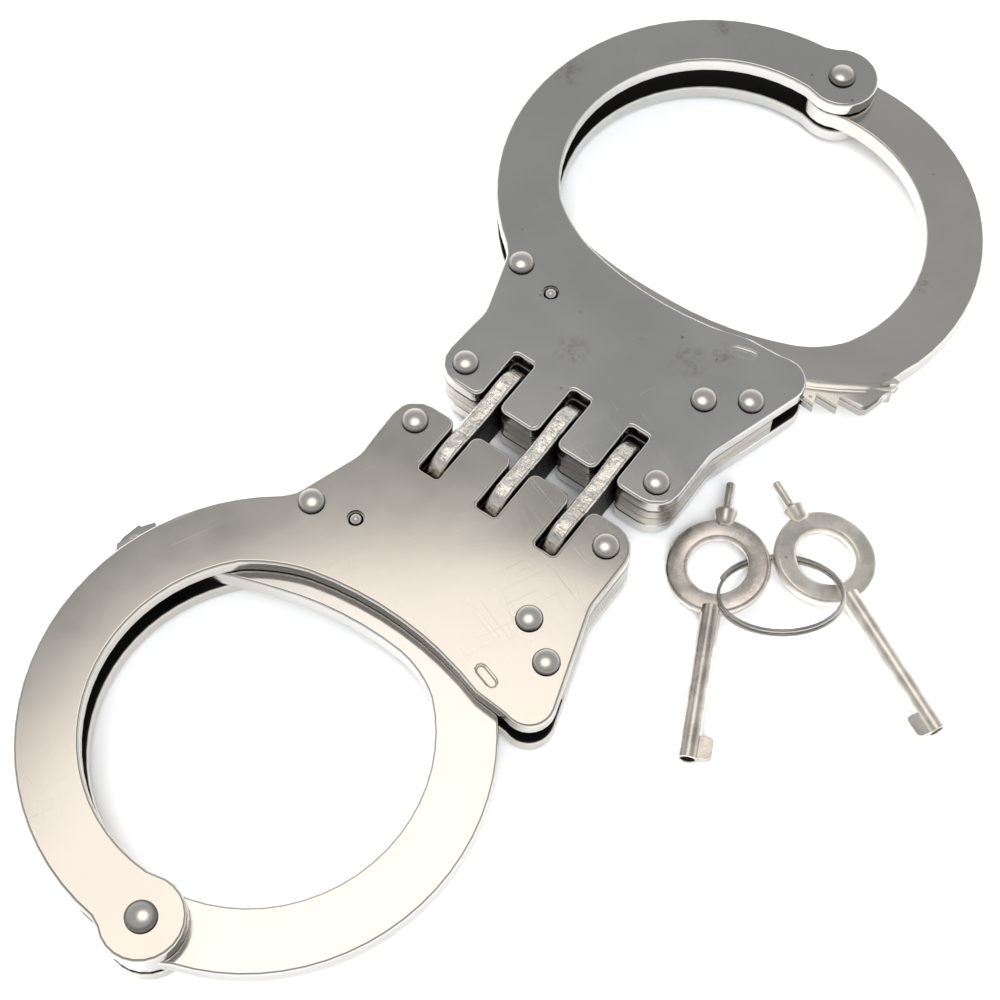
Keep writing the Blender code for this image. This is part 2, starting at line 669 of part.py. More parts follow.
def make_springs(cuff, finish):
    """Two bent leaf springs: a hairpin that presses the pawl, and a bow that holds the double-lock bar."""
    low = MIDDLE - STRAND_THICKNESS / 2 + 0.0003
    high = MIDDLE + STRAND_THICKNESS / 2 - 0.0003
    bend = Vector((0.0190, -0.0072))
    hairpin = [Vector((0.0176, -0.0182)), Vector((0.0173, -0.0125))]
    hairpin += arc(bend, 0.0016, 185, 5, 36)
    hairpin += [Vector((0.0207, -0.0100)), Vector((0.0209, -0.0130))]
    cuff.plate("pawl_spring", ribbon(hairpin, 0.0005), [], low, high, finish)
    steps = 8
    rise = [0.0010 * math.sin(math.pi * i / steps) for i in range(steps + 1)]
    bow = [Vector((0.01615 + out, -0.0020 + 0.0160 * i / steps)) for i, out in enumerate(rise)]
    cuff.plate("double_lock_spring", ribbon(bow, 0.0004), [], low, high, finish)


def make_cuff(cuff, finishes, closed):
    make_cheeks(cuff, finishes["cheek"])
    make_spacers(cuff, finishes["spacer"])
    make_rivets(cuff, finishes["rivet"])
    make_key_post(cuff, finishes["rivet"])
    make_hinge_pin(cuff, finishes["pin"])
    make_strand(cuff, finishes["strand"], closed)
    make_pawl(cuff, finishes["lock"])
    make_lock_bar(cuff, finishes["lock"])
    make_springs(cuff, finishes["spring"])


# ---------------------------------------------------------------- links, keys and ring


def make_links(finish, parent):
    """Three flat links on edge: each has a round eye on each hinge pin and is drawn in between them."""
    drawn_in = LINK_RADIUS - LINK_WAIST
    hollow_centre = (HINGE_PIN**2 - drawn_in**2) / (2 * drawn_in)  # so the hollow meets both eyes
    hollow = hollow_centre - LINK_WAIST
    lean = math.degrees(math.atan2(HINGE_PIN, hollow_centre))
    outline = arc((HINGE_PIN, 0), LINK_RADIUS, -90 - lean, 90 + lean, 15)
    outline += arc((0, hollow_centre), hollow, 270 + lean, 270 - lean, 4)[1:-1]
    outline += arc((-HINGE_PIN, 0), LINK_RADIUS, 90 - lean, 270 + lean, 15)
    outline += arc((0, -hollow_centre), hollow, 90 + lean, 90 - lean, 4)[1:-1]
    holes = [ring_loop((x, 0), PIN_RADIUS + BAND_CLEARANCE, 14) for x in (HINGE_PIN, -HINGE_PIN)]
    for piece, y in (("rear_link", LINK_PITCH), ("middle_link", 0), ("front_link", -LINK_PITCH)):
        mesh = plate_mesh(piece, outline, holes, -LINK_THICKNESS / 2, LINK_THICKNESS / 2)
        mesh.transform(Matrix.Rotation(math.radians(90), 4, "X"))
        solid(piece, mesh, finish, (0, y, MIDDLE), parent)


def make_key(name, finish, parent, centre, heading, dip, roll, bit_side):
    """One key: a flat round bow, a hollow shank with a bit at its end, and the double-lock pin opposite it.

    The key's frame has its origin at the bow's centre and +X along the shank.
    """
    axis = bpy.data.objects.new(f"{name}_axis", None)
    bpy.context.scene.collection.objects.link(axis)
    axis.parent = parent
    turn = Matrix.Rotation(math.radians(heading), 4, "Z") @ Matrix.Rotation(math.radians(dip), 4, "Y")
    axis.matrix_local = Matrix.Translation(centre) @ turn @ Matrix.Rotation(math.radians(roll), 4, "X")
    seat = KEY_SEAT

    rims = [ring_loop((0, 0), BOW_RADIUS, 40), [ring_loop((0, 0), BOW_HOLE, 36)]]
    bow_mesh = plate_mesh(f"{name}_bow", *rims, -BOW_THICKNESS / 2, BOW_THICKNESS / 2)
    bow = solid(f"{name}_bow", bow_mesh, finish, (0, 0, 0), axis)
    for piece, radius, sign in (("shank_seat", KEY_SHANK, 1), ("collar_seat", COLLAR, -1)):
        tool = cylinder_mesh(f"{name}_{piece}", radius + SEAT_GAP, seat - SEAT_GAP, BOW_RADIUS + 0.003, 20)
        tool.transform(along((sign, 0, 0)))
        cut(bow, cutter(f"{name}_{piece}", tool, (0, 0, 0), axis))

    bore_floor = KEY_LENGTH - KEY_BORE_DEPTH
    shank_profile = [(0, seat), (KEY_SHANK, seat), (KEY_SHANK, KEY_LENGTH), (KEY_BORE, KEY_LENGTH),
                     (KEY_BORE, bore_floor), (0, bore_floor)]
    shank_mesh = lathe_mesh(f"{name}_shank", shank_profile, 20)
    shank_mesh.transform(along((1, 0, 0)))
    shank = solid(f"{name}_shank", shank_mesh, finish, (0, 0, 0), axis)
    bit_root = KEY_BORE + 0.0002
    bit_end = KEY_LENGTH - 0.0002
    bit_start = bit_end - KEY_BIT_LENGTH
    bit = fillet([((bit_start, bit_root), 0), ((bit_end, bit_root), 0),
                  ((bit_end, KEY_BIT_REACH), 0.0010), ((bit_start, KEY_BIT_REACH), 0.0007)])
    bit = [(x, y * bit_side) for x, y in bit]
    bit_mesh = plate_mesh(f"{name}_bit", bit, [], -KEY_BIT_THICKNESS / 2, KEY_BIT_THICKNESS / 2)
    tool = cutter(f"{name}_bit", bit_mesh, (0, 0, 0), axis)
    cut(shank, tool, "UNION")

    rise = seat + COLLAR_RISE
    collar = [(0, seat), (0.0013, seat), (COLLAR, seat + 0.0006), (COLLAR, seat + 0.0015)]
    collar += [(COLLAR_FLANGE, rise - 0.0014), (COLLAR_FLANGE, rise - 0.0008), (0.0012, rise - 0.0002)]
    pin = [(LOCK_PIN, rise), (LOCK_PIN, KEY_PIN - 0.0002), (LOCK_PIN - 0.0002, KEY_PIN), (0, KEY_PIN)]
    pin_mesh = lathe_mesh(f"{name}_lock_pin", collar + pin, 20)
    pin_mesh.transform(along((-1, 0, 0)))
    solid(f"{name}_lock_pin", pin_mesh, finish, (0, 0, 0), axis)


def make_split_ring(finish, parent, centre, heading):
    """Two turns of round wire that lie on each other, tilted up at the front."""
    pitch = 2 * RING_WIRE + LAMINATION_GAP
    per_turn = 36
    count = 2 * per_turn - 2
    curve = bpy.data.curves.new("split_ring", "CURVE")
    curve.dimensions = "3D"
    curve.bevel_depth = RING_WIRE
    curve.bevel_resolution = 2
    curve.use_fill_caps = True
    spline = curve.splines.new("POLY")
    spline.points.add(count - 1)
    for i, point in enumerate(spline.points):
        flat = polar((0, 0), RING_RADIUS, 90 + 360 * i / per_turn)
        point.co = (*flat, pitch * (i / per_turn - 1), 1)
    curve.materials.append(finish)
    ring = bpy.data.objects.new("split_ring", curve)
    bpy.context.scene.collection.objects.link(ring)
    ring.parent = parent
    turn = Matrix.Rotation(math.radians(heading), 4, "Z") @ Matrix.Rotation(math.radians(RING_TILT), 4, "Y")
    ring.matrix_local = Matrix.Translation(centre) @ turn


def main():
    for old in list(bpy.data.objects):
        bpy.data.objects.remove(old)
    finishes = {
        "cheek": material("cheek_steel", (0.58, 0.57, 0.55), 0.30),
        "spacer": material("spacer_steel", (0.50, 0.49, 0.47), 0.38),
        "strand": material("strand_steel", (0.62, 0.60, 0.56), 0.28),
        "rivet": material("rivet_steel", (0.66, 0.65, 0.63), 0.18),
        "pin": material("hinge_pin_steel", (0.45, 0.44, 0.43), 0.35),
        "lock": material("lock_steel", (0.36, 0.35, 0.34), 0.42),
        "spring": material("spring_steel", (0.30, 0.31, 0.34), 0.30),
        "link": material("link_steel", (0.66, 0.65, 0.62), 0.34),
        "key": material("key_nickel", (0.64, 0.62, 0.58), 0.30),
    }
    base = bpy.data.objects.new("handcuffs", None)
    bpy.context.scene.collection.objects.link(base)
    base.location.y = ORIGIN_SHIFT
    make_cuff(Cuff("right", 1, base), finishes, 0)
    make_cuff(Cuff("left", -1, base), finishes, LEFT_TEETH_CLOSED * TOOTH_PITCH)
    make_links(finishes["link"], base)
    make_key("left_key", finishes["key"], base, **LEFT_KEY)
    make_key("right_key", finishes["key"], base, **RIGHT_KEY)
    make_split_ring(finishes["key"], base, RING_CENTRE, RING_HEADING)


main()
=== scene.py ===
"""Looks for the hinged handcuffs: nickel-plated steel on a pale surface, under a soft overhead light.

The row frame is in metres, with the surface at Z = 0, the cuffs along X and the keys on the -Y side.
"""

import json
import math

import bmesh
import bpy
from mathutils import Matrix, Vector

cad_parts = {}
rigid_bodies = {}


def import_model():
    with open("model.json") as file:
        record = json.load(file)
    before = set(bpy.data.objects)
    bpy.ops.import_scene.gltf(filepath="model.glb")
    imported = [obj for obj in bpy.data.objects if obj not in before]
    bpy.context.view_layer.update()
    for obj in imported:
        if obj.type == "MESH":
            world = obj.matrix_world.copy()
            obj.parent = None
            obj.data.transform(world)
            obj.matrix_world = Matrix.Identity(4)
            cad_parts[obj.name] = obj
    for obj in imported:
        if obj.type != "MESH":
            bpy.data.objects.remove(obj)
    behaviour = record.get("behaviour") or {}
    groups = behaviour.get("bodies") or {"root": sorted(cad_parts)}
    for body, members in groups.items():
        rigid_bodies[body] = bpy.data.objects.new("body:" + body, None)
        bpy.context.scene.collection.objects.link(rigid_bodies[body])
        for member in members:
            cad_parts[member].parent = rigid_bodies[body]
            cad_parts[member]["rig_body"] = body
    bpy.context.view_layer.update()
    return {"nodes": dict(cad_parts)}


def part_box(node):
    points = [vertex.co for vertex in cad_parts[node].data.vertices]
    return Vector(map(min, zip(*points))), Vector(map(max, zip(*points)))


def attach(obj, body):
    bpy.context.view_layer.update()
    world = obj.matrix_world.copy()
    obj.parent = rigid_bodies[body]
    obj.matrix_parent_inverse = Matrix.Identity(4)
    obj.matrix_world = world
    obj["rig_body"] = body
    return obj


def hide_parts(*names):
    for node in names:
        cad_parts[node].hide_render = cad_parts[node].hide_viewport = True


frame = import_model()
nodes = frame["nodes"]

# ---------------------------------------------------------------- node trees


def node(tree, kind, inputs=None, out=0, **settings):
    """Adds a shader node, links or sets its inputs, and returns one of its outputs."""
    made = tree.nodes.new("ShaderNode" + kind)
    for key, value in settings.items():
        setattr(made, key, value)
    for key, value in (inputs or {}).items():
        if isinstance(value, bpy.types.NodeSocket):
            tree.links.new(value, made.inputs[key])
        else:
            made.inputs[key].default_value = value
    return made.outputs[out] if len(made.outputs) else None


# socket places on a Mix node set to colours
MIX_FACTOR, MIX_FIRST, MIX_SECOND, MIX_OUT = 0, 6, 7, 2
EVEN = (1, 1, 1)


def noise(tree, place, scale, detail=3.0, roughness=0.55):
    inputs = {"Vector": place, "Scale": scale, "Detail": detail, "Roughness": roughness}
    return node(tree, "TexNoise", inputs)


def stretched(tree, place, scale, turn=(0, 0, 0), shift=0.0):
    """The same coordinates turned and then scaled by a different amount along each axis."""
    moved = node(tree, "Mapping", {"Vector": place, "Rotation": turn, "Location": (shift, shift, shift)})
    return node(tree, "VectorMath", {0: moved, 1: scale}, operation="MULTIPLY")


def band(tree, value, low, high, to_low=0.0, to_high=1.0):
    """A clamped smooth ramp from low to high."""
    return node(
        tree, "MapRange",
        {"Value": value, "From Min": low, "From Max": high, "To Min": to_low, "To Max": to_high},
        interpolation_type="SMOOTHSTEP",
    )


def maths(tree, operation, first, second):
    return node(tree, "Math", {0: first, 1: second}, operation=operation)


def times(tree, first, second):
    return maths(tree, "MULTIPLY", first, second)


def plus(tree, first, second):
    return maths(tree, "ADD", first, second)


def minus(tree, first, second):
    return maths(tree, "SUBTRACT", first, second)


def size_of(tree, value):
    return maths(tree, "ABSOLUTE", value, 0)


def blended(tree, factor, first, second):
    """Mixes two colours, each a socket or an (r, g, b)."""
    first, second = ((*tone, 1) if isinstance(tone, tuple) else tone for tone in (first, second))
    return node(
        tree, "Mix", {MIX_FACTOR: factor, MIX_FIRST: first, MIX_SECOND: second},
        out=MIX_OUT, data_type="RGBA",
    )


def cells(tree, place, scale):
    """Distance to the nearest of many scattered points."""
    return node(tree, "TexVoronoi", {"Vector": place, "Scale": scale, "Randomness": 1.0}, out="Distance")


def along(tree, vector, axis):
    """One coordinate of a vector."""
    return node(tree, "SeparateXYZ", {"Vector": vector}, out=axis)


def near(tree, place, centre, inner, outer):
    """1 within the inner distance of a point, fading to 0 at the outer distance."""
    gap = node(tree, "VectorMath", {0: place, 1: centre}, out=1, operation="DISTANCE")
    return band(tree, gap, inner, outer, 1.0, 0.0)


def strongest(tree, values):
    """The largest of several values."""
    most = values[0]
    for value in values[1:]:
        most = maths(tree, "MAXIMUM", most, value)
    return most


def facing(tree, direction, low, high):
    """1 where a face of the piece turns towards a direction in the row's frame, else 0."""
    turned_by = node(tree, "VectorMath", {0: node(tree, "TexCoord", out="Normal"), 1: direction},
                     out=1, operation="DOT_PRODUCT")
    return band(tree, turned_by, low, high)


# ---------------------------------------------------------------- metal

HINGE_MIDDLE = 0.01667  # the row's Y of the links' middle
# the walls of the hinge slots get painted shade near the links' middle
SLOT_REACH = (0.0155, 0.0175)  # how far from it the dark walls of the hinge slots fade out
UP = (0, 0, 1)
DOWN = (0, 0, -1)
ALONG_Y = ((0, 1, 0), (0, -1, 0))
BODY_MIDDLE = 0.0067  # height of the cuffs' middle
BODY_HALF = 0.0054

# what dirt, wear and cutting tools mix into the plating's own colour; the glint colour is a painted
# highlight, and the last, near-black colour is painted shade
BROWN_STAIN = (0.27, 0.215, 0.18)
PIT = (0.13, 0.10, 0.09)
GLINT = (0.92, 0.90, 0.86)
SCRATCH = (0.86, 0.84, 0.80)
FILED_HOLLOW = (0.16, 0.15, 0.14)
SHEAR_LINE = (0.20, 0.18, 0.165)
PAINTED_SHADE = (0.035, 0.033, 0.032)

PIT_SCALE = 420.0
GLINT_SCALE = 900.0
SCRATCHES = ((0.45, 5200), (-0.95, 4300), (1.9, 6100))  # heading in radians, and how thin
SCRATCH_LENGTH = 48
FILED_SCALE = (2300, 420, 420)
SHEARED_SCALE = (70, 70, 3000)
SMUDGE_STRENGTH = 0.55
BUMP_DEPTH = 0.000012  # metres for a height of 1


def stained(tree, place, shift, stains, smudges):
    """Fine patches, a broad field that groups them, and the brown stain where both are strong."""
    patch = noise(tree, stretched(tree, place, EVEN, shift=shift + 0.31), 150, 6, 0.7)
    field = noise(tree, stretched(tree, place, EVEN, shift=shift + 0.77), 38, 2)
    stain = times(tree, band(tree, patch, 0.55, 0.74), band(tree, field, 0.52, 0.68))
    stain = times(tree, stain, stains)
    blot = band(tree, noise(tree, place, 330, 5, 0.7), 0.44, 0.62)
    for centre, radius in smudges:
        spread = times(tree, near(tree, place, centre, radius * 0.1, radius), blot)
        stain = maths(tree, "MAXIMUM", stain, times(tree, spread, SMUDGE_STRENGTH))
    return patch, field, stain


def scratched(tree, place, shift, field, amount):
    """Fine straight scratches in a few directions, in loose groups."""
    lines = []
    for heading, thin in SCRATCHES:
        scale = (SCRATCH_LENGTH, thin, SCRATCH_LENGTH)
        drawn = noise(tree, stretched(tree, place, scale, (0, 0, heading), shift + heading), 1, 2, 0.4)
        lines.append(band(tree, drawn, 0.69, 0.77))
    return times(tree, strongest(tree, lines), times(tree, band(tree, field, 0.42, 0.6), amount))


def painted_shade_masks(tree, place, shaded_faces, turn_limits, rivet_head):
    """Masks for painted shade: the faces turned into the gaps between parts, the walls of the hinge slots,
    and the shoulder and foot of a rivet's head.
    """
    masks = []
    for direction in shaded_faces:
        share = facing(tree, direction, *turn_limits)
        if direction in ALONG_Y:
            off_middle = size_of(tree, minus(tree, along(tree, place, "Y"), HINGE_MIDDLE))
            share = times(tree, share, band(tree, off_middle, *SLOT_REACH, 1.0, 0.0))
        masks.append(share)
    # painted shade on the foot and the outer shoulder of a rivet's head
    if rivet_head:
        rise = size_of(tree, minus(tree, along(tree, place, "Z"), BODY_MIDDLE))
        masks.append(band(tree, rise, BODY_HALF + 0.0002, BODY_HALF + 0.0007, 1.0, 0.0))
        flat = node(tree, "VectorMath", {0: place, 1: (1, 1, 0)}, operation="MULTIPLY")
        spread = node(tree, "VectorMath", {0: flat}, out=1, operation="LENGTH")
        masks.append(band(tree, spread, 0.00165, 0.00225, 0.0, 0.75))
    return masks


def metal(name, tone, roughness, shade=0.03, stains=0.3, pits=0.3, scratches=0.2, grain=0.5, streaks=0.0,
          layers=0.0, specks=0.0, cloud_scale=45.0, shift=0.0, smudges=(), shaded_faces=(),
          turn_limits=(0.75, 0.9), rivet_head=False):
    """Plated steel with clouding, stains, pits, fine scratches, a polishing grain and filed streaks.

    Each amount runs from 0 to about 1. Layers draws the shear lines along upright faces. Specks paints
    glints, bright specks of painted highlight. Faces that turn towards the shaded directions get painted
    shade, near black, by how squarely a face has to turn to them; a rivet's head also gets painted shade
    round its shoulder and foot. Smudges are (centre, radius) pairs of brown stain. Shift gives each finish
    its own part of the patterns.
    """
    finish = bpy.data.materials.new(name)
    finish.use_nodes = True
    tree = finish.node_tree
    tree.nodes.clear()
    place = node(tree, "TexCoord", out="Object")

    cloud = noise(tree, stretched(tree, place, EVEN, shift=shift), cloud_scale, 3)
    dark = tuple(channel * (1 - 2 * shade) for channel in tone)
    light = tuple(min(0.95, channel * (1 + shade)) for channel in tone)
    colour = blended(tree, band(tree, cloud, 0.30, 0.70), dark, light)

    patch, field, stain = stained(tree, place, shift, stains, smudges)
    colour = blended(tree, stain, colour, BROWN_STAIN)

    wide = maths(tree, "MAXIMUM", band(tree, patch, 0.58, 0.66), band(tree, stain, 0.15, 0.3))
    spots = times(tree, band(tree, cells(tree, place, PIT_SCALE), 0.12, 0.2, 1.0, 0.0), wide)
    spots = times(tree, spots, pits)
    colour = blended(tree, spots, colour, PIT)
    # painted glints: bright specks of painted highlight
    if specks:
        glints = band(tree, cells(tree, place, GLINT_SCALE), 0.10, 0.22, 1.0, 0.0)
        glints = times(tree, glints, band(tree, patch, 0.48, 0.6))
        colour = blended(tree, times(tree, glints, specks), colour, GLINT)

    lines = scratched(tree, place, shift, field, scratches)
    colour = blended(tree, times(tree, lines, 0.35), colour, SCRATCH)

    height = times(tree, minus(tree, noise(tree, place, 3200, 2, 0.5), 0.5), 0.5 * grain)
    height = minus(tree, height, times(tree, lines, 0.9))
    height = minus(tree, height, times(tree, spots, 1.6))
    if streaks:
        filed = noise(tree, stretched(tree, place, FILED_SCALE, shift=shift), 1, 4, 0.65)
        dents = noise(tree, place, 900, 3, 0.6)
        waves = noise(tree, place, 300, 2, 0.5)
        filed = plus(tree, times(tree, filed, 0.7), times(tree, dents, 0.6))
        height = plus(tree, height, times(tree, filed, 13.0 * streaks))
        height = plus(tree, height, times(tree, waves, 34.0 * streaks))
        colour = blended(tree, band(tree, filed, 0.52, 0.62, 0.35 * streaks, 0.0), colour, FILED_HOLLOW)
    if layers:
        level = along(tree, node(tree, "TexCoord", out="Normal"), "Z")
        upright = band(tree, size_of(tree, level), 0.25, 0.6, 1.0, 0.0)
        sheared = noise(tree, stretched(tree, place, SHEARED_SCALE, shift=shift), 1, 3, 0.6)
        sheared = times(tree, times(tree, sheared, upright), layers)
        height = plus(tree, height, times(tree, sheared, 3.5))
        colour = blended(tree, times(tree, band(tree, sheared, 0.3, 0.75), 0.55), colour, SHEAR_LINE)

    rough = band(tree, cloud, 0.3, 0.7, roughness - 0.02, roughness + 0.03)
    rough = plus(tree, rough, times(tree, plus(tree, stain, lines), 0.12))
    # painted shade: near-black colour where the masks are strong
    masks = painted_shade_masks(tree, place, shaded_faces, turn_limits, rivet_head)
    if masks:
        shade_paint = strongest(tree, masks)
        colour = blended(tree, shade_paint, colour, PAINTED_SHADE)
        rough = plus(tree, rough, times(tree, shade_paint, 0.35))

    bump = node(tree, "Bump", {"Height": height, "Strength": 1.0, "Distance": BUMP_DEPTH})
    shader = node(
        tree, "BsdfPrincipled",
        {"Base Color": colour, "Metallic": 1.0, "Roughness": rough, "Normal": bump},
    )
    node(tree, "OutputMaterial", {"Surface": shader})
    return finish


NICKEL = (0.60, 0.595, 0.57)
WARM_NICKEL = (0.57, 0.545, 0.50)
SMUDGES = (  # on the right cuff's top plate
    ((0.0200, 0.0231, 0.0121), 0.0042),
    ((0.0303, 0.0057, 0.0121), 0.0048),
    ((0.0345, 0.0020, 0.0121), 0.0036),
    ((0.0687, 0.0585, 0.0121), 0.0040),
    ((0.0945, 0.0420, 0.0121), 0.0030),
)
STRAND_SMUDGES = (((0.0697, -0.0173, 0.0087), 0.0030), ((0.0491, -0.0224, 0.0087), 0.0016))


def make_finishes():
    """One finish for each kind of piece, by the key that finish_of gives."""
    finishes = {
        # spacers and links: painted shade on their faces in the hinge slots
        "spacer": metal("sheared_nickel", (0.56, 0.53, 0.48), 0.28, layers=1.0, shift=5.0, shaded_faces=ALONG_Y),
        "right_strand": metal("strand_nickel", (0.64, 0.62, 0.575), 0.16, stains=0.25, pits=0.4, grain=0.3,
                              layers=0.6, shift=7.0, smudges=STRAND_SMUDGES),
        "left_strand": metal("bright_strand_nickel", (0.62, 0.605, 0.58), 0.14, stains=0.1, pits=0.1,
                             grain=0.2, layers=0.6, shift=9.0),
        # rivets: painted shade round the shoulder and foot of each head
        "rivet": metal("domed_nickel", (0.72, 0.69, 0.65), 0.21, pits=0.2, grain=1.0, rivet_head=True),
        "link": metal("filed_nickel", (0.80, 0.77, 0.72), 0.19, stains=0.1, grain=0.8, streaks=1.0,
                      shaded_faces=ALONG_Y, turn_limits=(0.93, 0.98)),
        "post": metal("post_nickel", (0.66, 0.64, 0.61), 0.30, grain=1.0),
        "pin": metal("ground_steel", (0.40, 0.39, 0.37), 0.32, stains=0.4, shift=11.0),
        "lock": metal("hardened_steel", (0.16, 0.155, 0.15), 0.38, stains=0.5, shift=13.0),
        "spring": metal("blued_steel", (0.14, 0.15, 0.18), 0.28, stains=0.2, shift=15.0),
        "left_key": metal("worn_key_nickel", (0.68, 0.63, 0.58), 0.27, shade=0.16, cloud_scale=230.0,
                          stains=0.9, pits=0.5, grain=1.5, specks=0.6, shift=17.0),
        # the right key's nickel is paler than the left key's: partly its own plating, partly painted light
        # for the brighter light that falls on it
        "right_key": metal("pale_key_nickel", (0.82, 0.775, 0.70), 0.34, shade=0.10, cloud_scale=300.0,
                           stains=0.4, pits=0.4, grain=1.5, specks=0.3, shift=21.0),
        "ring": metal("ring_wire", (0.42, 0.41, 0.39), 0.22, stains=0.2, pits=0.1, shift=19.0),
    }
    # each cheek: painted shade on its face that turns into the gap between the cheeks
    for level, inward in (("top", DOWN), ("bottom", UP)):
        finishes[f"right_{level}"] = metal(
            f"satin_nickel_{level}", NICKEL, 0.14, pits=0.6, grain=0.2, layers=0.5,
            smudges=SMUDGES, specks=0.12, shaded_faces=(inward,),
        )
        finishes[f"left_{level}"] = metal(
            f"bright_satin_nickel_{level}", WARM_NICKEL, 0.12, stains=0.08, pits=0.1, grain=0.12,
            layers=0.5, specks=0.12, shift=3.0, shaded_faces=(inward,),
        )
    return finishes


def finish_of(name):
    """The key in the finishes for a CAD node."""
    side = name.split("_")[0]
    if "_key_" in name and "post" not in name:
        return f"{side}_key"
    if name.endswith("_strand"):
        return f"{side}_strand"
    if name.endswith("_cheek"):
        return name.removesuffix("_cheek")
    for word in ("spacer", "spring", "rivet", "link", "post"):
        if word in name:
            return word
    if name.endswith("_hinge_pin"):
        return "pin"
    if name == "split_ring":
        return "ring"
    return "lock"


# ---------------------------------------------------------------- edges and rounds

WELD_DISTANCE = 2e-6
SHARP = 40  # degrees between the faces at an edge that gets rolled
FLAT = 0.5  # degrees between faces that count as one flat face
FAINT = 0.2  # share of the full roll that small features get
RIM_FADE = 0.0002  # over which the roll changes
SHADED_SHARP = 50  # degrees at an edge of a turned piece that stays sharp


def weld_group():
    """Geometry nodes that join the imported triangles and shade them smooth."""
    group = bpy.data.node_groups.new("weld_and_smooth", "GeometryNodeTree")
    group.interface.new_socket("Geometry", in_out="INPUT", socket_type="NodeSocketGeometry")
    group.interface.new_socket("Geometry", in_out="OUTPUT", socket_type="NodeSocketGeometry")
    chain = [
        group.nodes.new("NodeGroupInput"),
        group.nodes.new("GeometryNodeMergeByDistance"),
        group.nodes.new("GeometryNodeRemoveAttribute"),
        group.nodes.new("GeometryNodeSetShadeSmooth"),
        group.nodes.new("NodeGroupOutput"),
    ]
    chain[1].inputs["Distance"].default_value = WELD_DISTANCE
    chain[2].inputs["Name"].default_value = "custom_normal"
    for first, second in zip(chain, chain[1:]):
        group.links.new(first.outputs["Geometry"], second.inputs["Geometry"])
    return group


def share_beyond(group, place, centre, radius, within, outside):
    """One value within a radius of a point and another outside it."""
    gap = node(group, "VectorMath", {0: place, 1: centre}, out=1, operation="DISTANCE")
    return node(group, "MapRange", {"Value": gap, "From Min": radius, "From Max": radius + RIM_FADE,
                                    "To Min": within, "To Max": outside})


def rim_group(name, spots, shelf=None):
    """Geometry nodes that mark how far each sharp edge is rolled.

    Edges within a spot's (centre, radius) are hardly rolled. Shelf is a (centre, radius) outside which they
    stay sharp.
    """
    group = bpy.data.node_groups.new(name, "GeometryNodeTree")
    for way in ("INPUT", "OUTPUT"):
        group.interface.new_socket("Geometry", in_out=way, socket_type="NodeSocketGeometry")
    entry = group.nodes.new("NodeGroupInput")
    leave = group.nodes.new("NodeGroupOutput")
    place = group.nodes.new("GeometryNodeInputPosition").outputs[0]
    turn = group.nodes.new("GeometryNodeInputMeshEdgeAngle").outputs["Unsigned Angle"]
    amount = maths(group, "GREATER_THAN", turn, math.radians(SHARP))
    for centre, radius in spots:
        amount = times(group, amount, share_beyond(group, place, centre, radius, FAINT, 1.0))
    if shelf:
        amount = times(group, amount, share_beyond(group, place, *shelf, 1.0, 0.0))
    store = group.nodes.new("GeometryNodeStoreNamedAttribute")
    store.data_type = "FLOAT"
    store.domain = "EDGE"
    store.inputs["Name"].default_value = "bevel_weight_edge"
    group.links.new(entry.outputs[0], store.inputs["Geometry"])
    group.links.new(amount, store.inputs["Value"])
    group.links.new(store.outputs[0], leave.inputs[0])
    return group


def soften(piece, group, width, segments=4, rims=None):
    """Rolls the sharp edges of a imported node, and keeps its flat faces flat."""
    weld = piece.modifiers.new("weld", "NODES")
    weld.node_group = group
    flat = piece.modifiers.new("flat_faces", "DECIMATE")
    flat.decimate_type = "DISSOLVE"
    flat.angle_limit = math.radians(FLAT)
    if rims:
        marked = piece.modifiers.new("marked_rims", "NODES")
        marked.node_group = rims
    rolled = piece.modifiers.new("rolled_edges", "BEVEL")
    rolled.width = width
    rolled.segments = segments
    rolled.limit_method = "WEIGHT" if rims else "ANGLE"
    rolled.angle_limit = math.radians(SHARP)
    rolled.use_clamp_overlap = not rims
    normals = piece.modifiers.new("flat_normals", "WEIGHTED_NORMAL")
    normals.weight = 100
    normals.keep_sharp = True


def turned(name, profile, segments=48, closed=False):
    """A round solid about Z from (radius, height) pairs.

    The pairs start and end on the axis, or form a closed loop.
    """
    shape = bmesh.new()
    rings = []
    for radius, height in profile:
        count = segments if radius else 1
        angles = [2 * math.pi * i / count for i in range(count)]
        ring = [(radius * math.cos(angle), radius * math.sin(angle), height) for angle in angles]
        rings.append([shape.verts.new(point) for point in ring])
    following = rings[1:] + rings[:1] if closed else rings[1:]
    for low, high in zip(rings, following):
        for i in range(segments):
            k = (i + 1) % segments
            corners = [low[i % len(low)], low[k % len(low)], high[k % len(high)], high[i % len(high)]]
            shape.faces.new(list(dict.fromkeys(corners)))
    bmesh.ops.recalc_face_normals(shape, faces=shape.faces)
    mesh = bpy.data.meshes.new(name)
    shape.to_mesh(mesh)
    shape.free()
    mesh.shade_smooth()
    mesh.set_sharp_from_angle(angle=math.radians(SHADED_SHARP))
    made = bpy.data.objects.new(name, mesh)
    bpy.context.scene.collection.objects.link(made)
    return made


HEAD_HEIGHT = 0.0012
CAP = 0.66  # share of a head's radius that its shallow cap covers
CAP_SLOPE = math.radians(17)  # at the edge of the cap
SHOULDER_PULLS = (0.6, 0.35)  # how far the curve's handles reach out along the cap and down the shoulder
HEAD_STEPS = 6
SHANK = 0.0015  # radius inside the plates


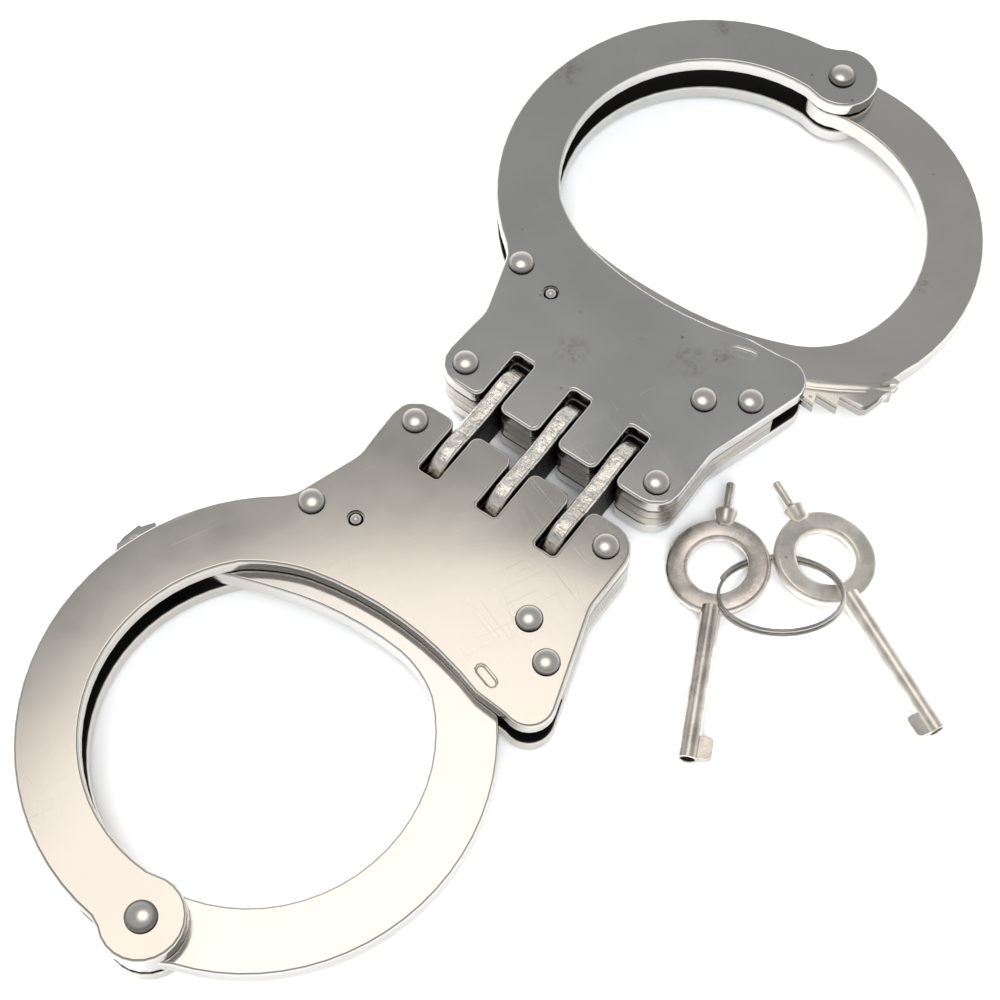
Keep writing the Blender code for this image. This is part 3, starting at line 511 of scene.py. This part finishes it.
def head_profile(head):
    """(radius, depth) pairs down a rivet's head: a shallow cap and then a tightly rounded shoulder."""
    sphere = head * CAP / math.sin(CAP_SLOPE)
    turns = [CAP_SLOPE * i / HEAD_STEPS for i in range(HEAD_STEPS + 1)]
    cap = [(sphere * math.sin(turn), sphere * (1 - math.cos(turn))) for turn in turns]
    start = Vector(cap[-1])
    reach = head - start.x
    near_cap = start + Vector((math.cos(CAP_SLOPE), math.sin(CAP_SLOPE))) * reach * SHOULDER_PULLS[0]
    near_foot = Vector((head, start.y + (HEAD_HEIGHT - start.y) * SHOULDER_PULLS[1]))
    foot = Vector((head, HEAD_HEIGHT))
    for i in range(1, HEAD_STEPS + 1):
        t = i / HEAD_STEPS
        point = start * (1 - t) ** 3 + near_cap * 3 * t * (1 - t) ** 2
        point += near_foot * 3 * t * t * (1 - t) + foot * t**3
        cap.append(tuple(point))
    return cap


def round_rivet(name, finish):
    """Finely turned domes in place of a rivet's coarse ones."""
    low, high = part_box(name)
    dome = head_profile((high.x - low.x) / 2)
    top = high.z - low.z
    lower_dome = [(radius, top - depth) for radius, depth in reversed(dome)]
    profile = [*dome, (SHANK, HEAD_HEIGHT), (SHANK, top - HEAD_HEIGHT), *lower_dome]
    made = turned(f"{name}_domes", profile)
    made.location = ((low.x + high.x) / 2, (low.y + high.y) / 2, low.z)
    made.data.materials.append(finish)
    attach(made, nodes[name]["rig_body"])
    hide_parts(name)


BOW_RADIUS = 0.0088
BOW_HOLE = 0.00505
BOW_THICKNESS = 0.0020
BOW_ROLL = 0.0007  # radius of its rounded rims
ROLL_STEPS = 4
BOW_SEGMENTS = 72
# each bow's centre in the row's frame, and the heading, slope and roll of its key in degrees
BOWS = {
    "left_key_bow": ((0.0048, -0.01793, 0.00236), (205.4, 1.0, 8.4)),
    "right_key_bow": ((0.0167, -0.03153, 0.00252), (243.8, 1.2, -6.7)),
}


def round_bow(name, finish):
    """A flat ring with rolled rims in place of a key's plain bow."""
    half = BOW_THICKNESS / 2
    profile = []
    for radius, height, start in (
        (BOW_RADIUS - BOW_ROLL, half - BOW_ROLL, 0),
        (BOW_HOLE + BOW_ROLL, half - BOW_ROLL, 90),
        (BOW_HOLE + BOW_ROLL, BOW_ROLL - half, 180),
        (BOW_RADIUS - BOW_ROLL, BOW_ROLL - half, 270),
    ):
        for step in range(ROLL_STEPS + 1):
            turn = math.radians(start + 90 / ROLL_STEPS * step)
            profile.append((radius + BOW_ROLL * math.cos(turn), height + BOW_ROLL * math.sin(turn)))
    made = turned(f"{name}_ring", profile, BOW_SEGMENTS, closed=True)
    centre, (heading, slope, roll) = BOWS[name]
    spin = Matrix.Rotation(math.radians(heading), 4, "Z") @ Matrix.Rotation(math.radians(slope), 4, "Y")
    made.matrix_world = Matrix.Translation(centre) @ spin @ Matrix.Rotation(math.radians(roll), 4, "X")
    made.data.materials.append(finish)
    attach(made, nodes[name]["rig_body"])
    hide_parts(name)


ROLLED = {"cheek": 0.00055, "spacer": 0.00018, "strand": 0.00045, "link": 0.00065, "shank": 0.0003}
LEAST_ROLL = 0.0001
DIMPLE = (0.0370, -0.0008)  # in the row's frame, on the right cuff
DIMPLE_REACH = 0.0032  # radii within which edges are hardly rolled
POST_REACH = 0.0021
KEYHOLE_REACH = 0.0060
EYE_REACH = 0.0032
SHELF = 0.0626  # radius about the strand's rivet beyond which it is toothed


def middle(name):
    low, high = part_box(name)
    return (low + high) / 2


def rims_of(name):
    """How the edges of a cheek, strand or link are rolled, or None for other pieces."""
    side = name.split("_")[0]
    if name.endswith("_cheek"):
        sign = 1 if side == "right" else -1
        dimple = (sign * DIMPLE[0], DIMPLE[1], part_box(name)[1].z)
        post = middle(f"{side}_key_post")
        post.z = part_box(name)[1].z
        hole = Vector((post.x, post.y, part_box(name)[0].z))
        return rim_group(name, [(dimple, DIMPLE_REACH), (post, POST_REACH), (hole, KEYHOLE_REACH)])
    if name.endswith("_strand"):
        return rim_group(name, [], (middle(f"{side}_strand_rivet"), SHELF))
    if name.endswith("_link"):
        eyes = []
        for pin in ("right_hinge_pin", "left_hinge_pin"):
            eye = middle(pin)
            eye.y = middle(name).y
            eyes.append((eye, EYE_REACH))
        return rim_group(name, eyes)
    return None


def dress():
    """Gives every node its finish, and rolls the edges of those that show."""
    finishes = make_finishes()
    group = weld_group()
    for name, piece in nodes.items():
        finish = finishes[finish_of(name)]
        if name.endswith("_rivet") or "_hinge_rivet" in name:
            round_rivet(name, finish)
            continue
        if name.endswith("_bow"):
            round_bow(name, finish)
            continue
        for slot in piece.material_slots:
            slot.material = finish
        width = next((size for word, size in ROLLED.items() if word in name), LEAST_ROLL)
        soften(piece, group, width, rims=rims_of(name))


# ---------------------------------------------------------------- surface, light and camera

FLOOR_SIZE = 6
LOW_SKY = (1.0, 0.985, 0.96)
HIGH_SKY = (0.925, 0.945, 0.96)
SKY_RISE = (0.25, 0.7)  # between which the room turns from its low to its high colour and strength
SKY_STRENGTHS = (1.15, 0.45)
WASHES = (
    ("rear_wash", (0.25, 1.45, 1.7), 58, (1.0, 0.985, 0.975)),
    ("front_wash", (-0.8, -0.9, 1.8), 44, (0.97, 0.985, 1.0)),
)
WASH_SIZE = 1.6
EYE = (-0.1303, -0.0723, 0.2976)  # fitted to the photo, with the heading and the lens
LOOKING = (0.3716, 0.2740, -0.8870)
LENS = 70.4
SENSOR_WIDTH = 36


def make_floor():
    bpy.ops.mesh.primitive_plane_add(size=FLOOR_SIZE)
    floor = bpy.context.object
    floor.name = "floor"
    paper = bpy.data.materials.new("white_paper")
    paper.use_nodes = True
    tree = paper.node_tree
    shader = tree.nodes["Principled BSDF"]
    place = node(tree, "TexCoord", out="Object")
    tint = blended(tree, noise(tree, place, 9, 3), (0.93, 0.935, 0.945), (0.95, 0.95, 0.955))
    tree.links.new(tint, shader.inputs["Base Color"])
    shader.inputs["Roughness"].default_value = 0.9
    floor.data.materials.append(paper)


def area_light(name, place, size, energy, colour, shape="DISK"):
    """A soft lamp that faces the handcuffs."""
    lamp = bpy.data.lights.new(name, "AREA")
    lamp.shape = shape
    lamp.size = size
    lamp.energy = energy
    lamp.color = colour
    made = bpy.data.objects.new(name, lamp)
    made.location = place
    made.rotation_euler = (-Vector(place)).to_track_quat("-Z", "Y").to_euler()
    bpy.context.scene.collection.objects.link(made)
    return made


def make_light():
    """A pale room, brighter low down, with a soft panel overhead.

    The two washes whiten the surface and its shadows, and the metal doesn't reflect them.
    """
    world = bpy.context.scene.world or bpy.data.worlds.new("studio")
    bpy.context.scene.world = world
    world.use_nodes = True
    tree = world.node_tree
    rise = along(tree, node(tree, "TexCoord", out="Generated"), "Z")
    background = tree.nodes["Background"]
    sky = blended(tree, band(tree, rise, *SKY_RISE), LOW_SKY, HIGH_SKY)
    tree.links.new(sky, background.inputs["Color"])
    tree.links.new(band(tree, rise, *SKY_RISE, *SKY_STRENGTHS), background.inputs["Strength"])
    area_light("overhead_panel", (0.29, 0.37, 2.4), 1.34, 6.3, (1.0, 0.92, 0.845))
    for name, place, energy, colour in WASHES:
        wash = area_light(name, place, WASH_SIZE, energy, colour, "SQUARE")
        wash.visible_glossy = False


def make_camera():
    camera = bpy.data.cameras.new("camera")
    camera.lens = LENS
    camera.sensor_width = SENSOR_WIDTH
    eye = bpy.data.objects.new("camera", camera)
    eye.location = EYE
    eye.rotation_euler = Vector(LOOKING).to_track_quat("-Z", "Y").to_euler()
    bpy.context.scene.collection.objects.link(eye)
    bpy.context.scene.camera = eye
    bpy.context.scene.view_settings.view_transform = "Standard"


dress()
make_floor()
make_light()
make_camera()
